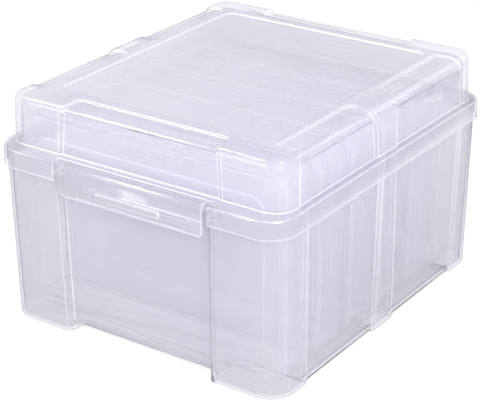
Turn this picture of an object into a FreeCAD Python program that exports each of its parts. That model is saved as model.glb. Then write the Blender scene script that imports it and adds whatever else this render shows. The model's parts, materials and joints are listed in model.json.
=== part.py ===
import FreeCAD, Part
import os

# Photo keeper case: a see-through box with a hinged lid, a front latch and six upright photo cases
# X runs to the right, the latch faces -Y and Z is up. The origin is under the middle of the box

doc = FreeCAD.newDocument("photo_keeper")

# Driving dimensions in millimetres, each with what it measures
SIZES = (
    ("case_width", 193.2, "photo case, side to side"),
    ("case_height", 134.2, "photo case, standing on its long edge"),
    ("case_depth", 36.3, "photo case, front to back"),
    ("case_gap", 0.5, "between neighbouring photo cases"),
    ("case_wall", 1.3, "wall of tray and cover"),
    ("case_radius", 9, "corners of a photo case"),
    ("case_edge", 1.2, "rounding around the cover's face"),
    ("tray_edge", 3, "rounding around the tray's back"),
    ("cover_depth", 9.5, "front of the case to the parting line"),
    ("cover_relief", 1.2, "cover's face behind its raised panel"),
    ("cover_margin", 10.6, "raised panel in from the sides"),
    ("cover_margin_low", 14, "raised panel up from the bottom"),
    ("cover_margin_high", 13, "raised panel down from the top"),
    ("tongue_wall", 0.8, "tray's tongue inside the cover"),
    ("tongue_reach", 2.5, "tongue past the parting line"),
    ("tongue_gap", 0.2, "tongue to cover"),
    ("case_seam", 0.2, "tray edge to cover edge"),
    ("tab_width", 56, "snap tab on the cover"),
    ("tab_height", 6.2, "snap tab on the cover's face"),
    ("tab_rise", 1.2, "snap tab above the case"),
    ("tab_depth", 6, "snap tab, front to back"),
    ("nib_width", 40, "catch on the tray behind the tab"),
    ("nib_depth", 1.6, "catch, front to back"),
    ("nib_rise", 0.8, "catch above the tray"),
    ("case_hinge_place", 60, "case hinge from the middle"),
    ("case_knuckle_width", 12, "cover's knuckle"),
    ("case_knuckle_radius", 2, "cover's knuckle"),
    ("case_pin_radius", 1, "tray's hinge pin"),
    ("case_ear_width", 2.2, "tray's ear beside the knuckle"),
    ("case_hinge_gap", 0.3, "knuckle to ear and to the notch"),
    ("side_play", 5, "photo cases to the bin's side wall"),
    ("end_play", 5.05, "photo cases to the bin's front wall"),
    ("seat_gap", 0.2, "photo cases to the floor"),
    ("bin_wall", 1.8, "bin walls"),
    ("floor_wall", 1.8, "bin floor"),
    ("case_proud", 19.7, "photo cases above the bin's rim"),
    ("bin_draft_x", 1.2, "side walls lean out"),
    ("bin_draft_y", 2.5, "front and rear walls lean out"),
    ("bin_radius", 18, "bin's upright corners"),
    ("front_step", 4.7, "front posts stand proud"),
    ("side_step", 1.3, "side posts stand proud"),
    ("step_slant", 2.6, "slanted flank of a post"),
    ("post_edge", 1.8, "rounded edge of a front post"),
    ("front_post", 48.7, "corner post, along the front"),
    ("side_post", 29.7, "corner post, along the side"),
    ("middle_post", 20, "middle post of a side"),
    ("middle_pad", 11, "foot under the middle post"),
    ("foot_drop", 1, "feet below the floor"),
    ("foot_edge", 1.5, "rounding under the feet"),
    ("front_sweep", 11, "rounding under front and rear"),
    ("floor_sweep", 2.5, "rounding inside the floor's front and rear edges"),
    ("side_sweep", 1.2, "rounding under the sides"),
    ("catch_half", 40, "catch rib, half its length"),
    ("catch_height", 2, "catch rib"),
    ("catch_above", 4, "catch rib over the latch's lower edge"),
    ("skirt_clear", 0.6, "rim to the lid's skirt"),
    ("skirt_wall", 1.5, "lid's skirt"),
    ("skirt_height", 13.5, "lid's skirt, edge to shoulder"),
    ("skirt_radius", 20, "skirt's upright corners"),
    ("skirt_edge", 3.5, "rounding on top of the skirt"),
    ("shoulder_wall", 1.6, "shoulder between skirt and lid wall"),
    ("shoulder_side", 4.4, "shoulder's width at the sides"),
    ("shoulder_front", 10.4, "shoulder's width at front and rear"),
    ("rim_clear", 0.4, "rim to the shoulder"),
    ("lid_wall", 1.6, "lid's upright wall"),
    ("lid_top_wall", 1.85, "lid's top"),
    ("lid_draft", 0.95, "lid's wall leans in"),
    ("lid_radius", 14, "lid's upright corners"),
    ("lid_edge_side", 8, "rounding over the sides"),
    ("lid_edge_front", 3, "rounding over front and rear"),
    ("headroom", 11, "photo cases to the lid"),
    ("zone_step", 1.35, "lid's panels behind its posts"),
    ("zone_drop", 1.65, "lid's panels below its top"),
    ("zone_slant", 3, "slanted flank of a lid post"),
    ("zone_wider", 2, "lid's front panel past the bin's"),
    ("lid_side_post", 18.7, "lid's corner post, along the side"),
    ("lid_middle_post", 28, "lid's middle post"),
    ("rim_side", 18.7, "raised top, in from the sides"),
    ("rim_front", 15.9, "raised top, in from the front"),
    ("panel_in_x", 5, "sunken top panel, in from the raised edge"),
    ("panel_in_y", 7, "sunken top panel, in from the raised edge"),
    ("panel_depth", 1.2, "sunken top panel"),
    ("panel_radius", 7, "sunken top panel's corners"),
    ("zone_radius", 4, "corners of the lowered ledges"),
    ("notch_wider", 1.5, "skirt's front notch past the bin's panel"),
    ("latch_end_gap", 3.3, "latch to the end of the notch"),
    ("latch_wall", 1.8, "latch flap"),
    ("latch_drop", 8.5, "latch below the skirt"),
    ("latch_proud", 0.5, "latch in front of the skirt"),
    ("latch_corner", 3, "latch's lower corners"),
    ("barrel_radius", 3.2, "rolled top of the latch"),
    ("barrel_gap", 0.5, "rolled top to the shoulder"),
    ("trunnion_radius", 1.5, "latch's pivot pins"),
    ("cheek_wall", 1.6, "lid's cheek around a pivot pin"),
    ("cheek_drop", 5.6, "cheek below the shoulder"),
    ("cheek_clear", 2.4, "rim notch around the cheek"),
    ("lip_half", 23.5, "finger lip, half its length"),
    ("lip_low", 4.8, "finger lip over the latch's lower edge"),
    ("lip_height", 5.6, "finger lip"),
    ("lip_proud", 1.9, "finger lip"),
    ("bead_radius", 1.15, "snap bead inside the latch"),
    ("bead_above", 2.3, "snap bead over the latch's lower edge"),
    ("bead_gap", 0.15, "snap bead to the catch rib"),
    ("pivot_clear", 0.08, "pin to hole, all hinges"),
    ("hinge_place", 32, "lid hinge from the middle"),
    ("lug_width", 14, "lid's hinge lug"),
    ("lug_radius", 3, "lid's hinge lug"),
    ("lug_wall", 3.2, "web over the hinge lug"),
    ("ear_width", 2.5, "bin's hinge ear"),
    ("ear_radius", 3.2, "bin's hinge ear"),
    ("ear_drop", 6, "ear below the hinge line"),
    ("hinge_pin_radius", 1.6, "lid's hinge pin"),
    ("hinge_side_gap", 0.3, "lug to ear"),
    ("hinge_rise", 1, "hinge line over the skirt's edge"),
    ("hinge_notch", 6, "skirt's notch at the hinge"),
    ("overrun", 5, "tools run past what they cut"),
    ("bury", 1, "joined pieces run into each other"),
)
CASE_COUNT = 6

# Places worked out from the driving dimensions
PLACES = (
    ("stack_half", f"({CASE_COUNT} * sizes.case_depth + {CASE_COUNT - 1} * sizes.case_gap) / 2"),
    ("core_x", "sizes.case_width / 2 + sizes.side_play + sizes.bin_wall"),
    ("core_y", "places.stack_half + sizes.end_play + sizes.bin_wall"),
    ("full_x", "places.core_x + sizes.side_step"),
    ("full_y", "places.core_y + sizes.front_step"),
    ("front_open", "places.full_x - sizes.front_post"),
    ("side_open", "places.full_y - sizes.side_post"),
    ("case_low", "sizes.foot_drop + sizes.floor_wall + sizes.seat_gap"),
    ("case_high", "places.case_low + sizes.case_height"),
    ("rim", "places.case_high - sizes.case_proud"),
    ("case_half", "sizes.case_width / 2"),
    ("shoulder_low", "places.rim + sizes.rim_clear"),
    ("shoulder_high", "places.shoulder_low + sizes.shoulder_wall"),
    ("skirt_low", "places.shoulder_high - sizes.skirt_height"),
    ("skirt_x", "places.full_x + sizes.bin_draft_x + sizes.skirt_clear + sizes.skirt_wall"),
    ("skirt_y", "places.full_y + sizes.bin_draft_y + sizes.skirt_clear + sizes.skirt_wall"),
    ("lid_x", "places.skirt_x - sizes.shoulder_side"),
    ("lid_y", "places.skirt_y - sizes.shoulder_front"),
    ("ceiling", "places.case_high + sizes.headroom"),
    ("ledge", "places.ceiling + sizes.lid_top_wall"),
    ("lid_top", "places.ledge + sizes.zone_drop"),
    ("rim_x", "places.lid_x - sizes.lid_draft - sizes.rim_side"),
    ("rim_y", "places.lid_y - sizes.lid_draft - sizes.rim_front"),
    ("zone_half", "places.front_open + sizes.zone_wider"),
    ("lid_side_open", "places.lid_y - sizes.lid_draft - sizes.lid_side_post"),
    ("notch_half", "places.front_open + sizes.notch_wider"),
    ("latch_half", "places.notch_half - sizes.latch_end_gap"),
    ("latch_face", "places.skirt_y + sizes.latch_proud"),
    ("latch_low", "places.skirt_low - sizes.latch_drop"),
    ("pivot_y", "places.latch_face - sizes.barrel_radius"),
    ("pivot_z", "places.shoulder_high - sizes.barrel_radius"),
    ("flap_in", "places.latch_face - sizes.latch_wall"),
    ("catch_face", "places.flap_in - sizes.bead_radius - sizes.bead_gap"),
    ("front_reach", "places.latch_face + sizes.lip_proud"),
    ("hinge_y", "places.front_reach - sizes.ear_radius"),
    ("hinge_z", "places.skirt_low + sizes.hinge_rise"),
    ("ear_inner", "sizes.lug_width / 2 + sizes.hinge_side_gap"),
    ("ear_outer", "places.ear_inner + sizes.ear_width"),
)

AXIS_X = FreeCAD.Vector(1, 0, 0)
AXIS_Y = FreeCAD.Vector(0, 1, 0)
AXIS_Z = FreeCAD.Vector(0, 0, 1)
QUARTER = 90
HALF_TURN = 180
# An edge within this share of the burial depth of a place lies there
CLOSE_SHARE = 0.1
# An edge whose length lies mostly along an axis, by this share, runs along it
STRAIGHT_SHARE = 0.99
SIDES = {-1: "left", 1: "right"}


def make_sheet(name, rows, mark):
    """A spreadsheet with a name, a value and a note in each row, the value under the name's alias."""
    sheet = doc.addObject("Spreadsheet::Sheet", name)
    for number, row in enumerate(rows, start=1):
        sheet.set(f"A{number}", row[0])
        sheet.set(f"B{number}", mark + str(row[1]))
        sheet.setAlias(f"B{number}", row[0])
        if len(row) > 2:
            sheet.set(f"C{number}", row[2])
    return sheet


sizes = make_sheet("sizes", SIZES, "")
doc.recompute()
places = make_sheet("places", PLACES, "=")
doc.recompute()


def bind(thing, **formulas):
    """Ties properties of an object to the sheets."""
    for prop, formula in formulas.items():
        thing.setExpression(prop.replace("__", "."), formula)
    return thing


def put(thing, x="0", y="0", z="0"):
    """Ties an object's place to the sheets."""
    return bind(thing, Placement__Base__x=x, Placement__Base__y=y, Placement__Base__z=z)


def block(name, x, y, z):
    """A box between low and high formulas along each axis."""
    box = doc.addObject("Part::Box", name)
    bind(box, Length=f"({x[1]}) - ({x[0]})", Width=f"({y[1]}) - ({y[0]})", Height=f"({z[1]}) - ({z[0]})")
    return put(box, x[0], y[0], z[0])


def both(half):
    """Low and high formulas of a span centred on zero."""
    return f"-({half})", half


def rod(name, radius, x, y, z):
    """A cylinder along X between two formulas."""
    pin = doc.addObject("Part::Cylinder", name)
    pin.Placement.Rotation = FreeCAD.Rotation(AXIS_Y, QUARTER)
    bind(pin, Radius=radius, Height=f"({x[1]}) - ({x[0]})")
    return put(pin, x[0], y, z)


def leaning_box(name, half_x, half_y, z, lean_x, lean_y):
    """A box on its centre line whose walls lean out by lean_x and lean_y at the top."""
    body = doc.addObject("Part::Wedge", name)
    body.Placement.Rotation = FreeCAD.Rotation(AXIS_X, QUARTER)
    bind(body, Xmin=f"-({half_x})", Xmax=half_x, Zmin=f"-({half_y})", Zmax=half_y)
    bind(body, X2min=f"-({half_x}) - ({lean_x})", X2max=f"({half_x}) + ({lean_x})")
    bind(body, Z2min=f"-({half_y}) - ({lean_y})", Z2max=f"({half_y}) + ({lean_y})")
    return bind(body, Ymin=z[0], Ymax=z[1])


def slot_mouth(name, near, far, depth, z, turn):
    """A wedge that widens from the span near to the span far over a depth along Y, then turned about Z."""
    body = doc.addObject("Part::Wedge", name)
    body.Placement.Rotation = FreeCAD.Rotation(AXIS_Z, turn)
    bind(body, Xmin=near[0], Xmax=near[1], X2min=far[0], X2max=far[1])
    bind(body, Ymin=depth[0], Ymax=depth[1], Zmin=z[0], Zmax=z[1])
    return bind(body, Z2min=z[0], Z2max=z[1])


def join(name, *pieces):
    """One solid from several that run into each other."""
    whole = doc.addObject("Part::MultiFuse", name)
    whole.Shapes = list(pieces)
    whole.Refine = True
    return whole


def cut(name, base, *tools):
    """The base less every tool."""
    tool = tools[0] if len(tools) == 1 else join(name + "_tools", *tools)
    rest = doc.addObject("Part::Cut", name)
    rest.Base = base
    rest.Tool = tool
    rest.Refine = True
    return rest


def round_edges(name, base, radius, wanted):
    """The base with every edge that wanted accepts rounded. radius gives one radius or two, for its ends."""
    doc.recompute()
    rounded = doc.addObject("Part::Fillet", name)
    rounded.Base = base
    edges = []
    for number, edge in enumerate(base.Shape.Edges, start=1):
        if wanted(edge):
            first, last = radius(edge) if callable(radius) else (radius, radius)
            edges.append((number, first, last))
    rounded.Edges = edges
    return rounded


def ends(edge):
    return [edge.valueAt(at) for at in (edge.FirstParameter, edge.LastParameter)]


def near(value, target):
    return abs(value - target) < float(sizes.bury) * CLOSE_SHARE


def along(edge, axis):
    """True for an edge whose ends lie one behind the other along an axis."""
    first, last = ends(edge)
    step = last - first
    return abs(getattr(step, axis)) > STRAIGHT_SHARE * step.Length > 0


def upright(edge):
    return along(edge, "z")


def level_at(height):
    """A test for edges that lie at a height."""
    return lambda edge: all(near(end.z, height) for end in ends(edge))


def rounded_box(name, half_x, half_y, z, lean_x, lean_y, radius):
    """A leaning box with rounded upright corners."""
    plain = leaning_box(name + "_plain", half_x, half_y, z, lean_x, lean_y)
    return round_edges(name, plain, radius, upright)


def bin_posts(name, inset, low):
    """The four corner posts and two middle posts of the bin, drawn in by inset on every side."""
    z = (low, "places.rim")
    tall = (f"({low}) - sizes.overrun", "places.rim + sizes.overrun")
    radius = float(sizes.bin_radius) - (float(sizes.bin_wall) if inset != "0" else 0)
    full = rounded_box(
        name + "_full",
        f"places.full_x - {inset}",
        f"places.full_y - {inset}",
        z,
        "sizes.bin_draft_x",
        "sizes.bin_draft_y",
        radius,
    )
    if inset == "0":
        full = round_edges(name + "_soft", full, float(sizes.foot_edge), level_at(0))
    reach_x = "places.skirt_x + sizes.overrun"
    reach_y = "places.skirt_y + sizes.overrun"
    open_half = f"places.front_open - sizes.step_slant + {inset}"
    flare = f"{open_half} + sizes.step_slant * (places.skirt_y - places.core_y) / sizes.front_step"
    tools = [block(name + "_front_slot", both(open_half), both(reach_y), tall)]
    for side, turn in (("front", HALF_TURN), ("rear", 0)):
        depth = (f"places.core_y - {inset}", f"places.skirt_y - {inset}")
        mouth = slot_mouth(f"{name}_{side}_mouth", both(open_half), both(flare), depth, tall, turn)
        tools.append(mouth)
    low_side = f"sizes.middle_post / 2 + sizes.step_slant - {inset}"
    high_side = f"places.side_open - sizes.step_slant + {inset}"
    widen = "sizes.step_slant * (places.skirt_x - places.core_x) / sizes.side_step"
    for sign, word in (("", "rear"), ("-", "front")):
        span = (low_side, high_side) if sign == "" else (f"-({high_side})", f"-({low_side})")
        wide = (f"{span[0]} - {widen}", f"{span[1]} + {widen}")
        tools.append(block(f"{name}_{word}_side_slot", both(reach_x), span, tall))
        for side, turn in (("right", -QUARTER), ("left", QUARTER)):
            turned = span if turn > 0 else (f"-({span[1]})", f"-({span[0]})")
            spread = wide if turn > 0 else (f"-({wide[1]})", f"-({wide[0]})")
            depth = (f"places.core_x - {inset}", f"places.skirt_x - {inset}")
            mouth = f"{name}_{word}_{side}_mouth"
            tools.append(slot_mouth(mouth, turned, spread, depth, tall, turn))
    pad = f"places.core_x - sizes.middle_pad - {inset}"
    tools.append(block(name + "_middle_slot", both(pad), both(high_side), tall))
    posts = cut(name + "_cut", full, *tools)
    if inset != "0":
        return posts
    slant = float(sizes.step_slant)
    reach = float(places.full_y) - slant / 2
    open_at = float(places.front_open) + 2 * slant

    def proud(edge):
        first, last = ends(edge)
        far = min(abs(first.y), abs(last.y)) > reach
        return upright(edge) and far and max(abs(first.x), abs(last.x)) < open_at

    return round_edges(name, posts, float(sizes.post_edge), proud)


def bin_core(name, inset, low, sweep, side):
    """The bin between its posts: one box front to back and one side to side."""
    z = (low, "places.rim")
    lean_x, lean_y = "sizes.bin_draft_x", "sizes.bin_draft_y"
    across = "places.front_open + sizes.bin_wall"
    deep = leaning_box(name + "_deep", across, f"places.core_y - {inset}", z, "0", lean_y)
    long = "places.side_open + sizes.bin_wall"
    wide = leaning_box(name + "_wide", f"places.core_x - {inset}", long, z, lean_x, "0")
    doc.recompute()
    floor_at = deep.Shape.BoundBox.ZMin

    def low_edge(axis):
        return lambda edge: level_at(floor_at)(edge) and along(edge, axis)

    deep = round_edges(name + "_deep_soft", deep, sweep, low_edge("x"))
    wide = round_edges(name + "_wide_soft", wide, side, low_edge("y"))
    return deep, wide


def make_bin():
    wall = "sizes.bin_wall"
    sweep = float(sizes.front_sweep)
    side = float(sizes.side_sweep)
    floor_low = "sizes.foot_drop"
    floor_high = "sizes.foot_drop + sizes.floor_wall"
    core = bin_core("bin_core", "0", floor_low, sweep, side)
    outer = join("bin_outer", bin_posts("bin_posts", "0", "0"), *core)
    hollow_posts = bin_posts("bin_hollow_posts", wall, "sizes.floor_wall")
    hollow = bin_core("bin_hollow", wall, floor_high, float(sizes.floor_sweep), side)
    shell = cut("bin_shell", outer, join("bin_inner", hollow_posts, *hollow))
    ears, bores = bin_ears()
    return cut("bin", join("bin_whole", shell, bin_catch(), *ears), *bores, *bin_rim_notches())


def bin_catch():
    """The rib that the latch's bead snaps under."""
    low = "places.latch_low + sizes.catch_above"
    y = ("-places.catch_face", "-places.core_y - sizes.bin_draft_y / 2")
    return block("bin_catch", both("sizes.catch_half"), y, (low, f"{low} + sizes.catch_height"))


def bin_ears():
    """The ears at the rear that hold the lid's hinge pins, and their bores."""
    ears, bores = [], []
    y = ("places.core_y + sizes.bury / 2", "places.hinge_y")
    z = ("places.hinge_z - sizes.ear_drop", "places.hinge_z + sizes.ear_radius")
    spans = {-1: ("-places.ear_outer", "-places.ear_inner"), 1: ("places.ear_inner", "places.ear_outer")}
    for sign, side in SIDES.items():
        middle = f"{sign} * sizes.hinge_place"
        for ear_sign, ear_side in SIDES.items():
            name = f"bin_{side}_hinge_{ear_side}_ear"
            x = tuple(f"{middle} + {end}" for end in spans[ear_sign])
            ears.append(block(name + "_root", x, y, z))
            ears.append(rod(name, "sizes.ear_radius", x, "places.hinge_y", "places.hinge_z"))
        radius = "sizes.hinge_pin_radius + sizes.pivot_clear"
        reach = "places.ear_outer + sizes.bury"
        x = (f"{middle} - ({reach})", f"{middle} + {reach}")
        bores.append(rod(f"bin_{side}_ear_bore", radius, x, "places.hinge_y", "places.hinge_z"))
    return ears, bores


def bin_rim_notches():
    """Room in the rim for the cheeks of the lid that hold the latch."""
    far = "places.notch_half + sizes.cheek_wall + sizes.cheek_clear"
    close = "places.front_open - sizes.step_slant"
    y = ("-places.skirt_y", "-places.core_y - sizes.bin_draft_y")
    low = "places.shoulder_low - sizes.cheek_drop - sizes.cheek_clear"
    z = (low, "places.rim + sizes.overrun")
    left = block("bin_left_rim_notch", (f"-({far})", f"-({close})"), y, z)
    right = block("bin_right_rim_notch", (close, far), y, z)
    return left, right


def lid_zones():
    """Tools that sink the lid's front, rear and side panels between its posts."""
    z = ("places.shoulder_high - sizes.overrun", "places.lid_top + sizes.overrun")
    reach_x = "places.skirt_x + sizes.overrun"
    reach_y = "places.skirt_y + sizes.overrun"
    base_half = "places.zone_half - sizes.zone_slant / 2"
    tools = []
    face_y = "places.lid_y - sizes.lid_draft - sizes.zone_step"
    face_x = "places.lid_x - sizes.lid_draft - sizes.zone_step"
    slope = "sizes.zone_slant / sizes.zone_step"
    for side, turn in (("front", HALF_TURN), ("rear", 0)):
        y = ("places.rim_y", reach_y) if turn == 0 else (f"-({reach_y})", "-places.rim_y")
        plain = block(f"lid_{side}_zone_plain", both(base_half), y, z)
        inner_y = float(places.rim_y)
        soft = round_edges(
            f"lid_{side}_zone",
            plain,
            float(sizes.zone_radius),
            lambda edge: upright(edge) and near(abs(ends(edge)[0].y), inner_y),
        )
        flare = f"{base_half} + (places.lid_y - ({face_y})) * {slope}"
        depth = (face_y, "places.lid_y")
        mouth = slot_mouth(f"lid_{side}_mouth", both(base_half), both(flare), depth, z, turn)
        tools += [soft, mouth]
    low = "sizes.lid_middle_post / 2 + sizes.zone_slant / 2"
    high = "places.lid_side_open - sizes.zone_slant / 2"
    spread = f"(places.lid_x - ({face_x})) * {slope}"
    inner_x = float(places.rim_x)
    for end, span in (("rear", (low, high)), ("front", (f"-({high})", f"-({low})"))):
        wide = (f"{span[0]} - {spread}", f"{span[1]} + {spread}")
        for side, turn in (("right", -QUARTER), ("left", QUARTER)):
            x = ("places.rim_x", reach_x) if turn < 0 else (f"-({reach_x})", "-places.rim_x")
            plain = block(f"lid_{end}_{side}_zone_plain", x, span, z)
            soft = round_edges(
                f"lid_{end}_{side}_zone",
                plain,
                float(sizes.zone_radius),
                lambda edge: upright(edge) and near(abs(ends(edge)[0].x), inner_x),
            )
            turned = span if turn > 0 else (f"-({span[1]})", f"-({span[0]})")
            flared = wide if turn > 0 else (f"-({wide[1]})", f"-({wide[0]})")
            mouth = f"lid_{end}_{side}_mouth"
            tools += [soft, slot_mouth(mouth, turned, flared, (face_x, "places.lid_x"), z, turn)]
    return tools


def lid_outside():
    """The lid above its shoulder, with its posts, panels and raised top."""
    z = ("places.shoulder_low", "places.lid_top")
    side, front = float(sizes.lid_edge_side), float(sizes.lid_edge_front)
    radius = float(sizes.lid_radius)
    full = rounded_box(
        "lid_full", "places.lid_x", "places.lid_y", z, "-sizes.lid_draft", "-sizes.lid_draft", radius
    )
    top = float(places.lid_top)

    def over_top(edge):
        """Side edges take the large radius, front and rear the small one, and corners run between them."""
        if along(edge, "y"):
            return side, side
        if along(edge, "x"):
            return front, front
        first, last = ends(edge)
        return (side, front) if abs(first.x) > abs(last.x) else (front, side)

    domed = round_edges("lid_domed", full, over_top, level_at(top))
    posts = cut("lid_posts", domed, *lid_zones())
    z = ("places.shoulder_low", "places.ledge")
    step = "sizes.zone_step"
    lean = "-sizes.lid_draft"
    deep = leaning_box(
        "lid_deep", "places.zone_half + sizes.zone_slant", f"places.lid_y - {step}", z, "0", lean
    )
    wide = leaning_box(
        "lid_wide", f"places.lid_x - {step}", "places.lid_side_open + sizes.zone_slant", z, lean, "0"
    )
    ledge = float(places.ledge)

    def ledge_edge(axis):
        return lambda edge: level_at(ledge)(edge) and along(edge, axis)

    deep = round_edges("lid_deep_soft", deep, front, ledge_edge("x"))
    wide = round_edges("lid_wide_soft", wide, side - float(sizes.zone_step), ledge_edge("y"))
    return posts, deep, wide


def lid_skirt():
    """The skirt that hangs over the bin's rim, solid inside."""
    z = ("places.skirt_low", "places.shoulder_high")
    radius = float(sizes.skirt_radius)
    plain = rounded_box("lid_skirt_full", "places.skirt_x", "places.skirt_y", z, "0", "0", radius)
    top = float(places.shoulder_high)
    return round_edges("lid_skirt", plain, float(sizes.skirt_edge), level_at(top))


def lid_hollows():
    """The room inside the skirt and the room under the lid's top."""
    thin = "sizes.skirt_wall"
    skirt = rounded_box(
        "lid_skirt_room",
        f"places.skirt_x - {thin}",
        f"places.skirt_y - {thin}",
        ("places.skirt_low - sizes.overrun", "places.shoulder_low"),
        "0",
        "0",
        float(sizes.skirt_radius) - float(sizes.skirt_wall),
    )
    inset = "sizes.zone_step - sizes.lid_wall"
    room = rounded_box(
        "lid_room_plain",
        f"places.lid_x - {inset}",
        f"places.lid_y - {inset}",
        ("places.shoulder_low - sizes.bury", "places.ceiling"),
        "-sizes.lid_draft",
        "-sizes.lid_draft",
        float(sizes.lid_radius) - float(sizes.lid_wall),
    )
    ceiling = float(places.ceiling)
    inner = float(sizes.lid_edge_side) - float(sizes.zone_step) - float(sizes.lid_wall)
    return skirt, round_edges("lid_room", room, inner, level_at(ceiling))


def lid_notches():
    """Openings in the skirt for the latch at the front and the hinges at the rear."""
    front_y = ("-places.skirt_y - sizes.overrun", "-places.pivot_y + sizes.barrel_radius + sizes.barrel_gap")
    front_z = ("places.skirt_low - sizes.overrun", "places.shoulder_high + sizes.bury / 2")
    tools = [block("lid_front_notch", both("places.notch_half"), front_y, front_z)]
    half = "(places.ear_outer + sizes.hinge_side_gap)"
    y = ("places.skirt_y - sizes.skirt_wall - sizes.bury", "places.skirt_y + sizes.overrun")
    z = ("places.skirt_low - sizes.overrun", "places.skirt_low + sizes.hinge_notch")
    for sign, side in SIDES.items():
        middle = f"{sign} * sizes.hinge_place"
        x = (f"{middle} - {half}", f"{middle} + {half}")
        tools.append(block(f"lid_{side}_hinge_notch", x, y, z))
    return tools


def lid_lugs():
    """The hinge lugs at the rear, each with a web up to the skirt and a pin through it."""
    pieces = []
    axis = ("places.hinge_y", "places.hinge_z")
    y = ("places.hinge_y - sizes.lug_wall / 2", "places.hinge_y + sizes.lug_wall / 2")
    z = ("places.hinge_z", "places.skirt_low + sizes.hinge_notch + sizes.bury")
    for sign, side in SIDES.items():
        middle = f"{sign} * sizes.hinge_place"
        x = (f"{middle} - sizes.lug_width / 2", f"{middle} + sizes.lug_width / 2")
        pieces.append(rod(f"lid_{side}_lug", "sizes.lug_radius", x, *axis))
        pieces.append(block(f"lid_{side}_web", x, y, z))
        pin = (f"{middle} - places.ear_outer", f"{middle} + places.ear_outer")
        pieces.append(rod(f"lid_{side}_hinge_pin", "sizes.hinge_pin_radius", pin, *axis))
    return pieces


def lid_cheeks():
    """The cheeks that hold the latch at its ends, and their bores."""
    close, far = "places.notch_half", "places.notch_half + sizes.cheek_wall"
    spans = {-1: (f"-({far})", f"-{close}"), 1: (close, far)}
    y = ("-places.skirt_y + sizes.skirt_wall / 2", "-places.pivot_y + sizes.barrel_radius")
    z = ("places.shoulder_low - sizes.cheek_drop", "places.shoulder_low + sizes.shoulder_wall / 2")
    radius = "sizes.trunnion_radius + sizes.pivot_clear"
    cheeks, bores = [], []
    for sign, side in SIDES.items():
        span = spans[sign]
        cheeks.append(block(f"lid_{side}_cheek", span, y, z))
        x = (f"{span[0]} - sizes.bury / 2", f"{span[1]} + sizes.bury / 2")
        bores.append(rod(f"lid_{side}_cheek_bore", radius, x, "-places.pivot_y", "places.pivot_z"))
    return cheeks, bores


def make_lid():
    solid = join("lid_solid", *lid_outside(), lid_skirt())
    half_x, half_y = "places.rim_x - sizes.panel_in_x", "places.rim_y - sizes.panel_in_y"
    z = ("places.lid_top - sizes.panel_depth", "places.lid_top + sizes.overrun")
    panel = rounded_box("lid_panel", half_x, half_y, z, "0", "0", float(sizes.panel_radius))
    shell = cut("lid_shell", solid, *lid_hollows(), panel, *lid_notches())
    cheeks, bores = lid_cheeks()
    return cut("lid", join("lid_whole", shell, *lid_lugs(), *cheeks), *bores)


def make_latch():
    half = "places.latch_half"
    flap = block(
        "latch_flap_plain",
        both(half),
        ("-places.latch_face", "-places.flap_in"),
        ("places.latch_low", "places.pivot_z"),
    )
    low = float(places.latch_low)

    def low_corner(edge):
        return along(edge, "y") and near(ends(edge)[0].z, low)

    flap = round_edges("latch_flap", flap, float(sizes.latch_corner), low_corner)
    barrel = rod("latch_barrel", "sizes.barrel_radius", both(half), "-places.pivot_y", "places.pivot_z")
    pins_half = "places.notch_half + sizes.cheek_wall"
    pins = rod("latch_pins", "sizes.trunnion_radius", both(pins_half), "-places.pivot_y", "places.pivot_z")
    bead_z = "places.latch_low + sizes.bead_above"
    bead = rod("latch_bead", "sizes.bead_radius", both("sizes.catch_half"), "-places.flap_in", bead_z)
    lip = doc.addObject("Part::Wedge", "latch_lip")
    bind(lip, Xmin="-sizes.lip_half", Xmax="sizes.lip_half", X2min="-sizes.lip_half", X2max="sizes.lip_half")
    bind(lip, Ymin="-places.front_reach", Ymax="-places.latch_face + sizes.latch_wall / 2")
    lip_low = "places.latch_low + sizes.lip_low"
    bind(lip, Zmin=lip_low, Zmax=f"{lip_low} + sizes.lip_proud / 2")
    bind(lip, Z2min=lip_low, Z2max=f"{lip_low} + sizes.lip_height")
    whole = join("latch_whole", flap, barrel, pins, bead, lip)
    spare = block(
        "latch_bead_trim",
        both("sizes.catch_half + sizes.bury"),
        ("-places.latch_face - sizes.overrun", "-places.latch_face"),
        ("places.latch_low - sizes.overrun", lip_low),
    )
    return cut("latch", whole, spare)


def case_shell(name, x, y, z, radius, edge_radius=0, at_back=False):
    """A box whose four corners in the front view are rounded, and the edge around its front or back too."""
    plain = block(name + "_plain", x, y, z)
    doc.recompute()
    span = plain.Shape.BoundBox
    face_y = span.YMax if at_back else span.YMin
    soft = round_edges(name + "_corners", plain, radius, lambda edge: along(edge, "y"))
    if not edge_radius:
        return soft
    return round_edges(name + "_soft", soft, edge_radius, lambda e: all(near(p.y, face_y) for p in ends(e)))


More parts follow.
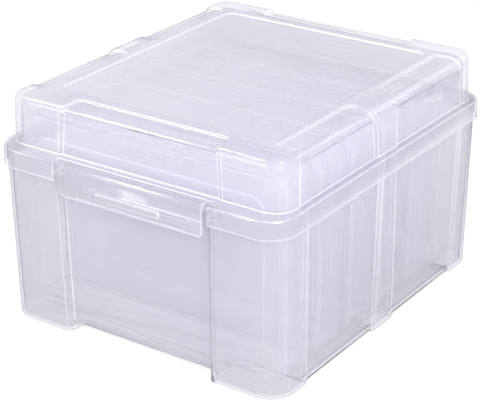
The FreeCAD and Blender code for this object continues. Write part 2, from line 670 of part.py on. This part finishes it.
def case_hinge(name, front, parts, tools, for_cover):
    """Hinges at the case's lower edge: ears and pins on the tray, knuckles on the cover."""
    y = f"{front} + sizes.cover_depth"
    z = "places.case_low + sizes.case_knuckle_radius"
    web_z = ("places.case_low", "places.case_low + sizes.case_wall")
    inner = "sizes.case_knuckle_width / 2"
    gap = "sizes.case_hinge_gap"
    outer = f"({inner} + {gap} + sizes.case_ear_width)"
    reach = f"(sizes.case_knuckle_radius + {gap})"
    for sign, side in SIDES.items():
        middle = f"{sign} * sizes.case_hinge_place"
        spot = f"{name}_{side}"
        notch_x = (f"{middle} - {outer} - {gap}", f"{middle} + {outer} + {gap}")
        notch_y = (f"{y} - {reach}", f"{y} + {reach}")
        notch_z = ("places.case_low - sizes.bury", f"{z} + {reach}")
        tools.append(block(spot + "_hinge_notch", notch_x, notch_y, notch_z))
        if for_cover:
            x = (f"{middle} - {inner}", f"{middle} + {inner}")
            knuckle = rod(spot + "_knuckle_full", "sizes.case_knuckle_radius", x, y, z)
            web = block(spot + "_knuckle_web", x, (f"{y} - {reach} - sizes.case_wall", y), web_z)
            bore_x = (f"{x[0]} - sizes.bury", f"{x[1]} + sizes.bury")
            bore = rod(spot + "_knuckle_bore", "sizes.case_pin_radius + sizes.pivot_clear", bore_x, y, z)
            parts.append(cut(spot + "_knuckle", join(spot + "_loop", knuckle, web), bore))
            continue
        x = (f"{middle} - {outer}", f"{middle} + {outer}")
        parts.append(rod(spot + "_pin", "sizes.case_pin_radius", x, y, z))
        spans = {-1: (x[0], f"{middle} - {inner} - {gap}"), 1: (f"{middle} + {inner} + {gap}", x[1])}
        for ear_sign, ear_side in SIDES.items():
            ear = f"{spot}_{ear_side}_ear"
            parts.append(rod(ear, "sizes.case_knuckle_radius", spans[ear_sign], y, z))
            web_y = (y, f"{y} + {reach} + sizes.case_wall")
            parts.append(block(ear + "_web", spans[ear_sign], web_y, web_z))


def make_tray(number, front):
    """Rear half of a photo case, with the tongue that the cover closes over."""
    name = f"photo_case_{number}_tray"
    wall = "sizes.case_wall"
    radius, thick = float(sizes.case_radius), float(sizes.case_wall)
    parting = f"{front} + sizes.cover_depth"
    back = f"{front} + sizes.case_depth"
    z = ("places.case_low", "places.case_high")
    soft = float(sizes.tray_edge)
    outer = case_shell(name + "_outer", both("places.case_half"), (parting, back), z, radius, soft, True)
    inset = f"({wall} + sizes.tongue_gap)"
    tongue = case_shell(
        name + "_tongue",
        both(f"places.case_half - {inset}"),
        (f"{parting} - sizes.tongue_reach", f"{parting} + sizes.bury"),
        (f"{z[0]} + {inset}", f"{z[1]} - {inset}"),
        radius - thick,
    )
    inset = f"({wall} + sizes.tongue_gap + sizes.tongue_wall)"
    room = case_shell(
        name + "_room",
        both(f"places.case_half - {inset}"),
        (f"{parting} - sizes.overrun", f"{back} - {wall}"),
        (f"{z[0]} + {inset}", f"{z[1]} - {inset}"),
        radius - thick - float(sizes.tongue_wall),
        soft - thick,
        True,
    )
    nib = block(
        name + "_nib",
        both("sizes.nib_width / 2"),
        (f"{parting} + sizes.nib_depth", f"{parting} + 2 * sizes.nib_depth"),
        (f"{z[1]} - sizes.bury", f"{z[1]} + sizes.nib_rise"),
    )
    parts, tools = [], [room]
    case_hinge(name, front, parts, tools, False)
    shell = cut(name + "_shell", join(name + "_solid", outer, tongue, nib), *tools)
    whole = join(name, shell, *parts)
    return whole


def make_cover(number, front):
    """Front half of a photo case, with its raised panel and snap tab."""
    name = f"photo_case_{number}_cover"
    wall = "sizes.case_wall"
    radius, thick = float(sizes.case_radius), float(sizes.case_wall)
    face = f"{front} + sizes.cover_relief"
    edge_at = f"{front} + sizes.cover_depth - sizes.case_seam"
    z = ("places.case_low", "places.case_high")
    soft = float(sizes.case_edge)
    outer = case_shell(name + "_outer", both("places.case_half"), (face, edge_at), z, radius, soft)
    room = case_shell(
        name + "_room",
        both(f"places.case_half - {wall}"),
        (f"{face} + {wall}", f"{edge_at} + sizes.overrun"),
        (f"{z[0]} + {wall}", f"{z[1]} - {wall}"),
        radius - thick,
    )
    panel = case_shell(
        name + "_panel",
        both("places.case_half - sizes.cover_margin"),
        (front, f"{face} + {wall} / 2"),
        (f"{z[0]} + sizes.cover_margin_low", f"{z[1]} - sizes.cover_margin_high"),
        radius,
        soft / 2,
    )
    panel_room = case_shell(
        name + "_panel_room",
        both(f"places.case_half - sizes.cover_margin - {wall}"),
        (f"{front} + {wall}", f"{face} + {wall} + sizes.bury"),
        (f"{z[0]} + sizes.cover_margin_low + {wall}", f"{z[1]} - sizes.cover_margin_high - {wall}"),
        radius - thick,
    )
    tab = block(
        name + "_tab",
        both("sizes.tab_width / 2"),
        (front, f"{front} + sizes.tab_depth"),
        (f"{z[1]} - sizes.tab_height", f"{z[1]} + sizes.tab_rise"),
    )
    tab_room = block(
        name + "_tab_room",
        both(f"sizes.tab_width / 2 - {wall}"),
        (f"{front} + {wall}", f"{front} + sizes.tab_depth + sizes.overrun"),
        (f"{z[1]} - sizes.tab_height + {wall}", f"{z[1]} - {wall}"),
    )
    parts, tools = [], [room, panel_room, tab_room]
    case_hinge(name, front, parts, tools, True)
    shell = cut(name + "_shell", join(name + "_solid", outer, panel, tab), *tools)
    return join(name, shell, *parts)


def make_parts():
    """Every sub-part of the box, in the order that it is put together."""
    parts = {"bin": make_bin(), "lid": make_lid(), "latch": make_latch()}
    for number in range(1, CASE_COUNT + 1):
        front = f"-places.stack_half + {number - 1} * (sizes.case_depth + sizes.case_gap)"
        parts[f"photo_case_{number}_tray"] = make_tray(number, front)
        parts[f"photo_case_{number}_cover"] = make_cover(number, front)
    return parts


def check(parts):
    """Stops if anything failed to build."""
    for thing in doc.Objects:
        if "Invalid" in thing.State or "Error" in thing.State:
            raise RuntimeError(f"{thing.Name} failed: {thing.State}")
    for name, part in parts.items():
        if part.Shape.isNull() or not part.Shape.isValid() or part.Shape.Volume <= 0:
            raise RuntimeError(f"{name} has no sound shape")
        if len(part.Shape.Solids) != 1:
            raise RuntimeError(f"{name} has {len(part.Shape.Solids)} solids")


parts = make_parts()
doc.recompute()
for name, part in parts.items():
    part.Label = name
check(parts)
os.makedirs("parts", exist_ok=True)
for name, part in parts.items():
    part.Shape.exportStep(f"parts/{name}.step")
    box = part.Shape.BoundBox
    print(f"{name}: volume {part.Shape.Volume:.0f}, X {box.XMin:.2f} {box.XMax:.2f}", end=" ")
    print(f"Y {box.YMin:.2f} {box.YMax:.2f} Z {box.ZMin:.2f} {box.ZMax:.2f}")
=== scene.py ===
"""The looks of a see-through photo storage box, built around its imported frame."""

import json
import math

import bmesh
import bpy
from bpy.props import FloatProperty, FloatVectorProperty, PointerProperty
from mathutils import Matrix, Vector
from mathutils.bvhtree import BVHTree

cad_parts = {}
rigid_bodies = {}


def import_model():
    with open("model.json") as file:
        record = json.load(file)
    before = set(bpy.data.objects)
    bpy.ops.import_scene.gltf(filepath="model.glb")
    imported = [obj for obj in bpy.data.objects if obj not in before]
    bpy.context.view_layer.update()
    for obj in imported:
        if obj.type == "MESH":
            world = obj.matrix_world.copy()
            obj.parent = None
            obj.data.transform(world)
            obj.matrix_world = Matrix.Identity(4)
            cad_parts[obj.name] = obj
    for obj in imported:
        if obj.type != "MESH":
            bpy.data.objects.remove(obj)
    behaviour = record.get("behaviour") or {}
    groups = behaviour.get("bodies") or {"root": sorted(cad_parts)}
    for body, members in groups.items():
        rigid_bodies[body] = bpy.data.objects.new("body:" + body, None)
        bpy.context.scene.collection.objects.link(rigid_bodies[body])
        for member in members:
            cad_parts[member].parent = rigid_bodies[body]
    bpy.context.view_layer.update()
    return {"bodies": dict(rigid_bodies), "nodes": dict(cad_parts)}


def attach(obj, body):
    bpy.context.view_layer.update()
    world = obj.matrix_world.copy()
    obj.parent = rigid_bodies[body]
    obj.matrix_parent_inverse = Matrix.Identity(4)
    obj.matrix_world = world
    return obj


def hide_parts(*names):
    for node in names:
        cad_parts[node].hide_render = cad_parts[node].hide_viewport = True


bl_info = {
    "name": "Photo keeper case",
    "version": (1, 0, 0),
    "blender": (4, 5, 0),
    "location": "3D View > Sidebar > Photo keeper",
    "description": "Dresses a see-through photo storage box and sets up its studio",
    "category": "Object",
}

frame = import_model()
MM = 0.001
CASES = [name for name in frame["bodies"] if name.startswith("photo_case")]

# How the solids' meshes are read: what is one corner, a flat seam, a crease and a small fillet.
MERGE_GAP = 0.05 * MM
FLAT_SEAM = math.radians(0.5)
CREASE_TURN = math.radians(15)
SHARP_TURN = math.radians(32)
WIDEST_STRIP = 1.5 * MM
FILLET_LIMIT = 1.6 * MM

# Real sizes of the plastic's pattern and grain, and where a turned wall starts to look milky.
CLOUD_SIZE = 55 * MM
GRAIN_SIZE = 1.2 * MM
GRAIN_DEPTH = 0.05 * MM
GRAIN_STRENGTH = 0.1
TURNED_AWAY = 0.57
GLANCE_POWER = 5.0
MILK_ROUGHNESS = 0.9

# Shares of light that the milk and the skin take, seen square on and edge on, and the skin's roughness.
BIN_MILK = (0.14, 0.95)
LID_MILK = (0.12, 0.95)
CASE_MILK = (0.11, 0.6)
# The edge plastic's milk share lays its near-white colour over the rounded edges, as a painted highlight.
EDGE_HIGHLIGHT_MILK = (0.22, 0.9)
WALL_SHINE = (0.039, 0.1)
EDGE_SHINE = (0.07, 0.15)
BOX_GLOSS = 0.16
CASE_GLOSS = 0.14
EDGE_GLOSS = 0.3

# Strengths of the studio's air and floor, as a light and as what is seen.
WHITE = (1, 1, 1, 1)
AIR_LIGHT = 0.8
AIR_SEEN = 1.0
PAPER = (0.8, 0.8, 0.8, 1)
FLOOR_SHADE = (0.2, 0.2, 0.2, 1)
FLOOR_GLOW = 0.75
FLOOR_HALF = 4.0
SENSOR_WIDTH = 36


def linear(hex_colour):
    """An sRGB hex colour as linear red, green and blue."""
    shares = [int(hex_colour[at : at + 2], 16) / 255 for at in (1, 3, 5)]
    return tuple(s / 12.92 if s <= 0.04045 else ((s + 0.055) / 1.055) ** 2.4 for s in shares)


def add(tree, kind, values=(), links=(), **settings):
    """One node with its settings, the values of its sockets and the links into them."""
    node = tree.nodes.new(kind)
    for name, value in settings.items():
        setattr(node, name, value)
    for socket, value in dict(values).items():
        node.inputs[socket].default_value = value
    for socket, source in dict(links).items():
        tree.links.new(source, node.inputs[socket])
    return node


class PlasticSettings(bpy.types.PropertyGroup):
    """Colours and wall finish of the moulded plastic."""

    bin_colour: FloatVectorProperty(
        name="Bin colour", description="Bin", subtype="COLOR", default=linear("#D7D7DD")
    )
    bin_cloud: FloatVectorProperty(
        name="Bin cloud", description="Faint clouds in the bin's plastic", subtype="COLOR",
        default=linear("#D1D1D8"),
    )
    lid_colour: FloatVectorProperty(
        name="Lid colour", description="Lid and latch", subtype="COLOR", default=linear("#E3E3E7")
    )
    lid_cloud: FloatVectorProperty(
        name="Lid cloud", description="Faint clouds in the lid's plastic", subtype="COLOR",
        default=linear("#DEDEE3"),
    )
    box_deep: FloatVectorProperty(
        name="Box deep", description="Box's plastic seen edge on", subtype="COLOR",
        default=linear("#8A899C"),
    )
    bin_passed: FloatVectorProperty(
        name="Bin passed", description="Light that one face of the bin lets through", subtype="COLOR",
        default=linear("#EFEEF1"),
    )
    lid_passed: FloatVectorProperty(
        name="Lid passed", description="Light that one face of the lid lets through", subtype="COLOR",
        default=linear("#F1F1F4"),
    )
    case_colour: FloatVectorProperty(
        name="Case colour", description="Photo cases", subtype="COLOR", default=linear("#FCFCFD")
    )
    case_cloud: FloatVectorProperty(
        name="Case cloud", description="Faint clouds in the cases' plastic", subtype="COLOR",
        default=linear("#FAFAFC"),
    )
    case_deep: FloatVectorProperty(
        name="Case deep", description="Cases' plastic seen edge on", subtype="COLOR",
        default=linear("#CDCDDB"),
    )
    case_passed: FloatVectorProperty(
        name="Case passed", description="Light that one face of a case lets through", subtype="COLOR",
        default=linear("#FEFEFF"),
    )
    box_edge: FloatProperty(
        name="Box edge", description="Rounding of the box's edges", default=0.55 * MM, unit="LENGTH"
    )
    case_edge: FloatProperty(
        name="Case edge", description="Rounding of the cases' edges", default=0.45 * MM, unit="LENGTH"
    )


class CameraSettings(bpy.types.PropertyGroup):
    """Where the camera stands, and how it looks at the box."""

    azimuth: FloatProperty(
        name="Azimuth", description="Round to the right", default=math.radians(34.7977), unit="ROTATION"
    )
    elevation: FloatProperty(
        name="Elevation", description="Above the floor", default=math.radians(24.4889), unit="ROTATION"
    )
    roll: FloatProperty(
        name="Roll", description="Tilt of the horizon", default=math.radians(-0.2668), unit="ROTATION"
    )
    distance: FloatProperty(
        name="Distance", description="Camera to the point aimed at", default=1.0915, unit="LENGTH"
    )
    aim_height: FloatProperty(
        name="Aim height", description="Height of the point aimed at", default=70 * MM, unit="LENGTH"
    )
    pan: FloatProperty(
        name="Pan", description="Frame moved to the right", default=-5.485 * MM, unit="LENGTH"
    )
    tilt: FloatProperty(
        name="Tilt", description="Frame moved up", default=-10.237 * MM, unit="LENGTH"
    )
    lens: FloatProperty(name="Lens", description="Focal length in millimetres", default=124.58)


def strip_width(face):
    return face.calc_area() / max(edge.calc_length() for edge in face.edges)


def cleaned(mesh):
    """A copy of a mesh without the short edges and the flat seams that meshing a solid leaves.

    Its creases are marked for the rounding, and the strips of its small fillets take the edge's plastic, a
    near-white copy that paints a highlight along them.
    """
    mesh = mesh.copy()
    work = bmesh.new()
    work.from_mesh(mesh)
    bmesh.ops.remove_doubles(work, verts=work.verts, dist=MERGE_GAP)
    bmesh.ops.dissolve_limit(
        work,
        angle_limit=FLAT_SEAM,
        verts=work.verts,
        edges=work.edges,
        use_dissolve_boundaries=False,
    )
    mark = work.edges.layers.float.new("bevel_weight_edge")
    strips = {face for face in work.faces if strip_width(face) < WIDEST_STRIP}
    for face in work.faces:
        face.smooth = True
        face.material_index = 0
    for edge in work.edges:
        if len(edge.link_faces) != 2:
            continue
        turn = edge.calc_face_angle(0.0)
        beside = strips.intersection(edge.link_faces)
        if turn > SHARP_TURN or (turn > CREASE_TURN and not beside):
            edge[mark] = 1.0
        for face in beside:
            if turn * FILLET_LIMIT > strip_width(face):
                # The strip of a small fillet takes the near-white edge plastic: a painted highlight along
                # it.
                face.material_index = 1
    work.to_mesh(mesh)
    work.free()
    return mesh


def keep_near(rounded, sharp, width):
    """Brings back the corners of a rounded mesh that its rounding threw off the sharp mesh."""
    surface = BVHTree.FromPolygons([v.co for v in sharp.vertices], [p.vertices for p in sharp.polygons])
    for vertex in rounded.vertices:
        near, _, _, gap = surface.find_nearest(vertex.co)
        if gap > width:
            vertex.co = near


def add_moulded(node, body, slot, wall, edge, width):
    """Adds a copy of a frame node, which stands for it, with its edges rounded as moulding leaves them and
    a painted highlight on the rounded faces.
    """
    sharp = cleaned(frame["nodes"][node].data)
    sharp.materials.clear()
    sharp.materials.append(wall)
    sharp.materials.append(edge)
    piece = bpy.data.objects.new(node + "_moulded", sharp)
    bpy.context.scene.collection.objects.link(piece)
    rounding = piece.modifiers.new("rounded_edges", "BEVEL")
    rounding.width = width
    rounding.segments = 2
    rounding.limit_method = "WEIGHT"
    rounding.use_clamp_overlap = False
    rounding.harden_normals = True
    # The bevel's faces take the near-white edge plastic: a painted highlight along every rounded edge.
    rounding.material = 1
    depsgraph = bpy.context.evaluated_depsgraph_get()
    rounded = bpy.data.meshes.new_from_object(piece.evaluated_get(depsgraph), depsgraph=depsgraph)
    piece.modifiers.clear()
    keep_near(rounded, sharp, width)
    piece.data = rounded
    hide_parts(node)
    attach(piece, body)


def moulded_plastic(name, colour, cloud, deep, passed, milk, shine, gloss):
    """Polypropylene, moulded against a finely blasted tool: milky, see-through and softly glossy.

    It passes most light where it is seen square on. Every wall seen edge on turns milky, and the long way
    through the plastic takes some of the light there, so that its colour goes over to the deep one.
    """
    material = bpy.data.materials.new(name)
    material.use_nodes = True
    tree = material.node_tree
    tree.nodes.clear()
    place = add(tree, "ShaderNodeTexCoord").outputs["Object"]
    drift = add(tree, "ShaderNodeTexNoise", {"Scale": 1 / CLOUD_SIZE}, {"Vector": place})
    tint = add(
        tree,
        "ShaderNodeMix",
        {"A": (*colour, 1), "B": (*cloud, 1)},
        {"Factor": drift.outputs["Fac"]},
        data_type="RGBA",
    )
    grain = add(tree, "ShaderNodeTexNoise", {"Scale": 1 / GRAIN_SIZE}, {"Vector": place})
    bump = add(
        tree,
        "ShaderNodeBump",
        {"Strength": GRAIN_STRENGTH, "Distance": GRAIN_DEPTH},
        {"Height": grain.outputs["Fac"]},
    ).outputs["Normal"]
    rim = add(tree, "ShaderNodeLayerWeight", {"Blend": 0.5}, {"Normal": bump}).outputs["Facing"]
    far = add(
        tree,
        "ShaderNodeMapRange",
        {"From Min": TURNED_AWAY},
        {"Value": rim},
        interpolation_type="SMOOTHSTEP",
    )
    shaded = add(
        tree,
        "ShaderNodeMix",
        {"B": (*deep, 1)},
        {"Factor": far.outputs[0], "A": tint.outputs["Result"]},
        data_type="RGBA",
    )
    inside = add(
        tree,
        "ShaderNodeBsdfPrincipled",
        {"Roughness": MILK_ROUGHNESS, "Specular IOR Level": 0.0},
        {"Base Color": shaded.outputs["Result"], "Normal": bump},
    )
    milky = add(
        tree,
        "ShaderNodeMapRange",
        {"To Min": milk[0], "To Max": milk[1]},
        {"Value": far.outputs[0]},
    )
    clear = add(tree, "ShaderNodeBsdfTransparent", {"Color": (*passed, 1)})
    wall = add(
        tree,
        "ShaderNodeMixShader",
        {},
        {0: milky.outputs[0], 1: clear.outputs[0], 2: inside.outputs[0]},
    )
    steep = add(tree, "ShaderNodeMath", {1: GLANCE_POWER}, {0: rim}, operation="POWER")
    mirror = add(
        tree,
        "ShaderNodeMapRange",
        {"To Min": shine[0], "To Max": shine[1]},
        {"Value": steep.outputs[0]},
    )
    skin = add(tree, "ShaderNodeBsdfGlossy", {"Roughness": gloss}, {"Normal": bump})
    whole = add(
        tree,
        "ShaderNodeMixShader",
        {},
        {0: mirror.outputs[0], 1: wall.outputs[0], 2: skin.outputs[0]},
    )
    add(tree, "ShaderNodeOutputMaterial", {}, {"Surface": whole.outputs[0]})
    return material


def plastics(name, colour, cloud, deep, passed, milk, gloss):
    """The plastic of a wall, and a near-white, milkier copy of it for the rounded edges that paints a
    highlight along them and shines more.
    """
    wall = bpy.data.materials.get(name)
    wall = wall or moulded_plastic(name, colour, cloud, deep, passed, milk, WALL_SHINE, gloss)
    rounded = name + "_edge"
    # Near-white colour of the edge plastic: a painted highlight on rounded edges and small fillets.
    painted_highlight_white = linear("#FCFCFF")
    edge = bpy.data.materials.get(rounded)
    edge = edge or moulded_plastic(rounded, painted_highlight_white, painted_highlight_white, deep, passed, EDGE_HIGHLIGHT_MILK, EDGE_SHINE, EDGE_GLOSS)
    return wall, edge


def bin_plastic():
    plastic = bpy.context.scene.photo_keeper_plastic
    colours = plastic.bin_colour, plastic.bin_cloud, plastic.box_deep, plastic.bin_passed
    return *plastics("polypropylene_thick", *colours, BIN_MILK, BOX_GLOSS), plastic.box_edge


def lid_plastic():
    plastic = bpy.context.scene.photo_keeper_plastic
    colours = plastic.lid_colour, plastic.lid_cloud, plastic.box_deep, plastic.lid_passed
    return *plastics("polypropylene_milky", *colours, LID_MILK, BOX_GLOSS), plastic.box_edge


def case_plastic():
    plastic = bpy.context.scene.photo_keeper_plastic
    colours = plastic.case_colour, plastic.case_cloud, plastic.case_deep, plastic.case_passed
    return *plastics("polypropylene_clear", *colours, CASE_MILK, CASE_GLOSS), plastic.case_edge


class PHOTOKEEPER_OT_bin(bpy.types.Operator):
    """Dress the bin"""

    bl_idname = "photokeeper.bin"
    bl_label = "Bin"

    def execute(self, context):
        add_moulded("bin", "bin", "bin", *bin_plastic())
        return {"FINISHED"}


class PHOTOKEEPER_OT_lid_and_latch(bpy.types.Operator):
    """Dress the lid and the latch that it carries"""

    bl_idname = "photokeeper.lid_and_latch"
    bl_label = "Lid and latch"

    def execute(self, context):
        for body in ("lid", "latch"):
            add_moulded(body, body, body, *lid_plastic())
        return {"FINISHED"}


class PHOTOKEEPER_OT_photo_cases(bpy.types.Operator):
    """Dress the tray and the cover of every photo case"""

    bl_idname = "photokeeper.photo_cases"
    bl_label = "Photo cases"

    def execute(self, context):
        for body in CASES:
            for half in ("tray", "cover"):
                add_moulded(f"{body}_{half}", body, "case_" + half, *case_plastic())
        return {"FINISHED"}


def seen_directly(tree):
    """One for a ray that comes from the camera, off a glossy surface or through a clear one, else none."""
    ray = add(tree, "ShaderNodeLightPath").outputs
    direct = {0: ray["Is Camera Ray"], 1: ray["Is Glossy Ray"]}
    either = add(tree, "ShaderNodeMath", {}, direct, operation="MAXIMUM")
    passed = {0: either.outputs[0], 1: ray["Is Transmission Ray"]}
    return add(tree, "ShaderNodeMath", {}, passed, operation="MAXIMUM").outputs[0]


def make_world():
    """White studio air: pure white where it is seen, a little dimmer as a light."""
    world = bpy.data.worlds.new("studio_air")
    world.use_nodes = True
    tree = world.node_tree
    tree.nodes.clear()
    lit = add(tree, "ShaderNodeBackground", {"Color": WHITE, "Strength": AIR_LIGHT})
    shown = add(tree, "ShaderNodeBackground", {"Color": WHITE, "Strength": AIR_SEEN})
    both = {0: seen_directly(tree), 1: lit.outputs[0], 2: shown.outputs[0]}
    mixed = add(tree, "ShaderNodeMixShader", {}, both)
    add(tree, "ShaderNodeOutputWorld", {}, {"Surface": mixed.outputs[0]})
    bpy.context.scene.world = world


def make_floor():
    """A white table top that keeps the box's soft shadow."""
    material = bpy.data.materials.new("studio_paper")
    material.use_nodes = True
    tree = material.node_tree
    tree.nodes.clear()
    paper = add(tree, "ShaderNodeBsdfDiffuse", {"Color": PAPER})
    shade = add(tree, "ShaderNodeBsdfDiffuse", {"Color": FLOOR_SHADE})
    glow = add(tree, "ShaderNodeEmission", {"Color": WHITE, "Strength": FLOOR_GLOW})
    lifted = add(tree, "ShaderNodeAddShader", {}, {0: shade.outputs[0], 1: glow.outputs[0]})
    both = {0: seen_directly(tree), 1: paper.outputs[0], 2: lifted.outputs[0]}
    mixed = add(tree, "ShaderNodeMixShader", {}, both)
    add(tree, "ShaderNodeOutputMaterial", {}, {"Surface": mixed.outputs[0]})
    half = FLOOR_HALF
    corners = [(-half, -half, 0), (half, -half, 0), (half, half, 0), (-half, half, 0)]
    mesh = bpy.data.meshes.new("floor")
    mesh.from_pydata(corners, [], [(0, 1, 2, 3)])
    mesh.materials.append(material)
    floor = bpy.data.objects.new("floor", mesh)
    bpy.context.scene.collection.objects.link(floor)


def make_lamp(name, place, aim, width, height, power):
    light = bpy.data.lights.new(name, "AREA")
    light.shape = "RECTANGLE"
    light.size = width
    light.size_y = height
    light.energy = power
    lamp = bpy.data.objects.new(name, light)
    lamp.location = place
    lamp.rotation_euler = (Vector(aim) - Vector(place)).to_track_quat("-Z", "Y").to_euler()
    bpy.context.scene.collection.objects.link(lamp)


def make_camera(view):
    """A camera that turns about the box as a turntable would, with a small pan and roll."""
    right = Vector((math.cos(view.azimuth), math.sin(view.azimuth), 0))
    back = Vector((
        math.sin(view.azimuth) * math.cos(view.elevation),
        -math.cos(view.azimuth) * math.cos(view.elevation),
        math.sin(view.elevation),
    ))
    up = back.cross(right)
    aim = Vector((0, 0, view.aim_height)) + right * view.pan + up * view.tilt
    turned_right = right * math.cos(view.roll) + up * math.sin(view.roll)
    turned_up = up * math.cos(view.roll) - right * math.sin(view.roll)
    data = bpy.data.cameras.new("camera")
    data.sensor_width = SENSOR_WIDTH
    data.lens = view.lens
    camera = bpy.data.objects.new("camera", data)
    axes = Matrix((turned_right, turned_up, back)).transposed().to_4x4()
    camera.matrix_world = Matrix.Translation(aim + back * view.distance) @ axes
    bpy.context.scene.collection.objects.link(camera)
    bpy.context.scene.camera = camera


class PHOTOKEEPER_OT_studio(bpy.types.Operator):
    """Set up the floor, the lights and the camera"""

    bl_idname = "photokeeper.studio"
    bl_label = "Studio"

    def execute(self, context):
        make_world()
        make_floor()
        make_lamp("key", (-1.1, -1.3, 1.3), (0, 0, 0.08), 1.0, 1.0, 37)
        make_lamp("fill", (1.5, -0.9, 0.9), (0, 0, 0.08), 0.8, 0.8, 45)
        make_lamp("rim", (0.7, 1.5, 1.1), (0, 0, 0.12), 0.9, 0.9, 8)
        make_camera(context.scene.photo_keeper_camera)
        context.scene.view_settings.view_transform = "Standard"
        cycles = context.scene.cycles
        cycles.max_bounces = 14
        cycles.diffuse_bounces = 8
        cycles.glossy_bounces = 6
        cycles.transparent_max_bounces = 96
        return {"FINISHED"}


class PHOTOKEEPER_PT_steps(bpy.types.Panel):
    """Lists the steps that dress the box"""

    bl_idname = "PHOTOKEEPER_PT_steps"
    bl_label = "Photo keeper"
    bl_space_type = "VIEW_3D"
    bl_region_type = "UI"
    bl_category = "Photo keeper"

    def draw(self, context):
        for step in STEPS:
            self.layout.operator(step.bl_idname)


STEPS = (
    PHOTOKEEPER_OT_bin,
    PHOTOKEEPER_OT_lid_and_latch,
    PHOTOKEEPER_OT_photo_cases,
    PHOTOKEEPER_OT_studio,
)
CLASSES = (PlasticSettings, CameraSettings, *STEPS, PHOTOKEEPER_PT_steps)


def register():
    for thing in CLASSES:
        bpy.utils.register_class(thing)
    bpy.types.Scene.photo_keeper_plastic = PointerProperty(type=PlasticSettings)
    bpy.types.Scene.photo_keeper_camera = PointerProperty(type=CameraSettings)


def unregister():
    del bpy.types.Scene.photo_keeper_plastic
    del bpy.types.Scene.photo_keeper_camera
    for thing in reversed(CLASSES):
        bpy.utils.unregister_class(thing)


def main():
    register()
    bpy.ops.photokeeper.bin()
    bpy.ops.photokeeper.lid_and_latch()
    bpy.ops.photokeeper.photo_cases()
    bpy.ops.photokeeper.studio()


if __name__ == "__main__":
    main()
